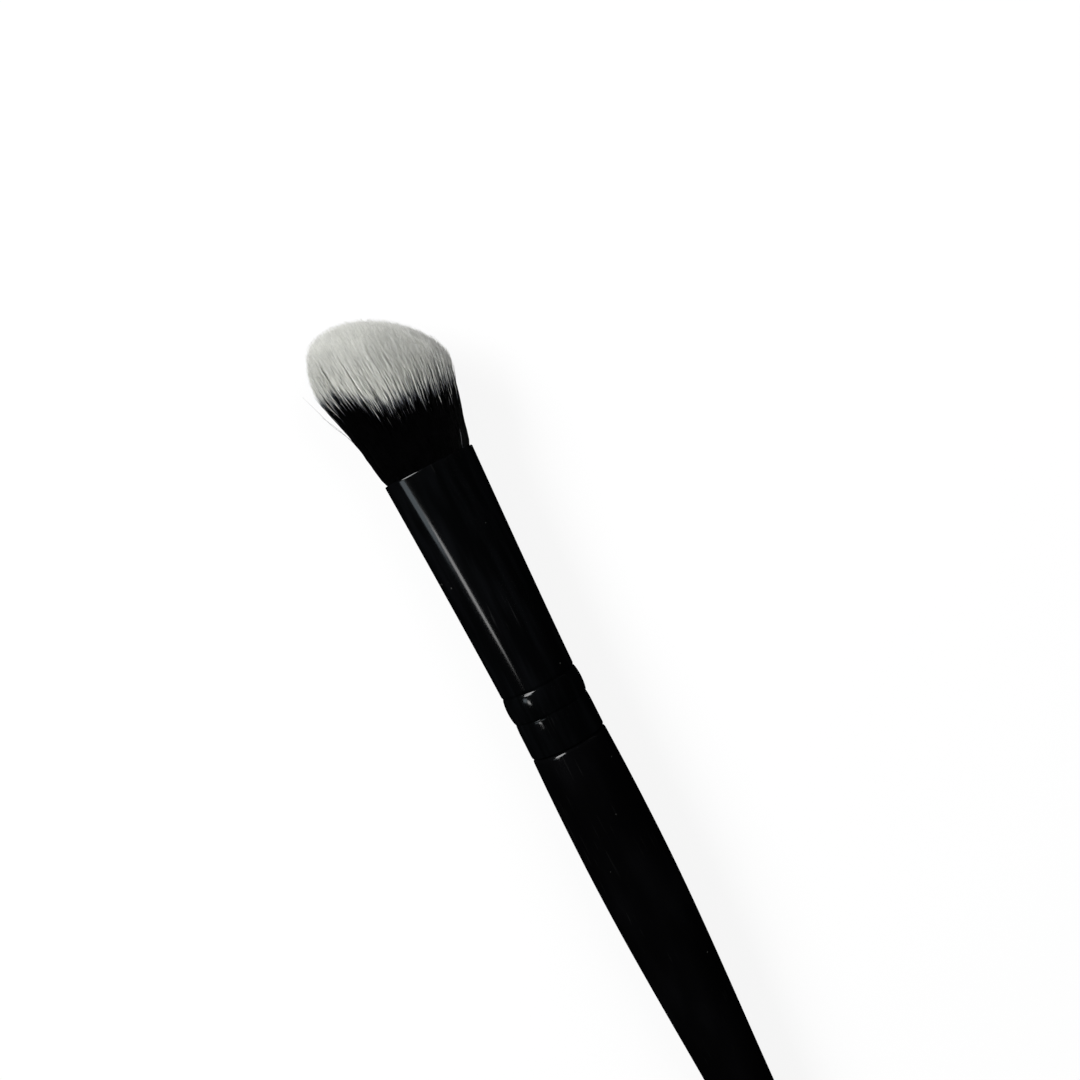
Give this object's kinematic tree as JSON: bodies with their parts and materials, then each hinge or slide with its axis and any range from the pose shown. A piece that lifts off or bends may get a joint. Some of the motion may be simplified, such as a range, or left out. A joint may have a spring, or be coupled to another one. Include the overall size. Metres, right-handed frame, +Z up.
{
  "type": "concealer brush",
  "caption": "Slim turned wooden handle with a black metal ferrule, pressed oval at the mouth, that holds a flared, slanted dome of two-tone fibres.",
  "frame": {"origin": "centre of the bounding box's bottom face: the brush lies on a table at z = 0, on the butt and the belly of its handle", "axes": "+X along the brush towards the fibre tips, which the rest pose raises by 1.1 degrees; +Y to the side where the fibres are longest; +Z up, through the thin side of the head"},
  "size_m": [0.1696, 0.0137, 0.0095],
  "materials": {
    "lacquered_wood": "black lacquer, glossy",
    "black_ferrule": "black coated, glossy",
    "fibre": "fine crimped fibre, black at the root and pale at the tip",
    "cast_glue": "set epoxy",
    "binding_thread": "waxed cotton"
  },
  "bodies": {
    "root": {"handle": "lacquered_wood", "ferrule": "black_ferrule", "bristle_tuft": "fibre", "root_glue_plug": "cast_glue", "binding_thread": "binding_thread"}
  },
  "joints": []
}
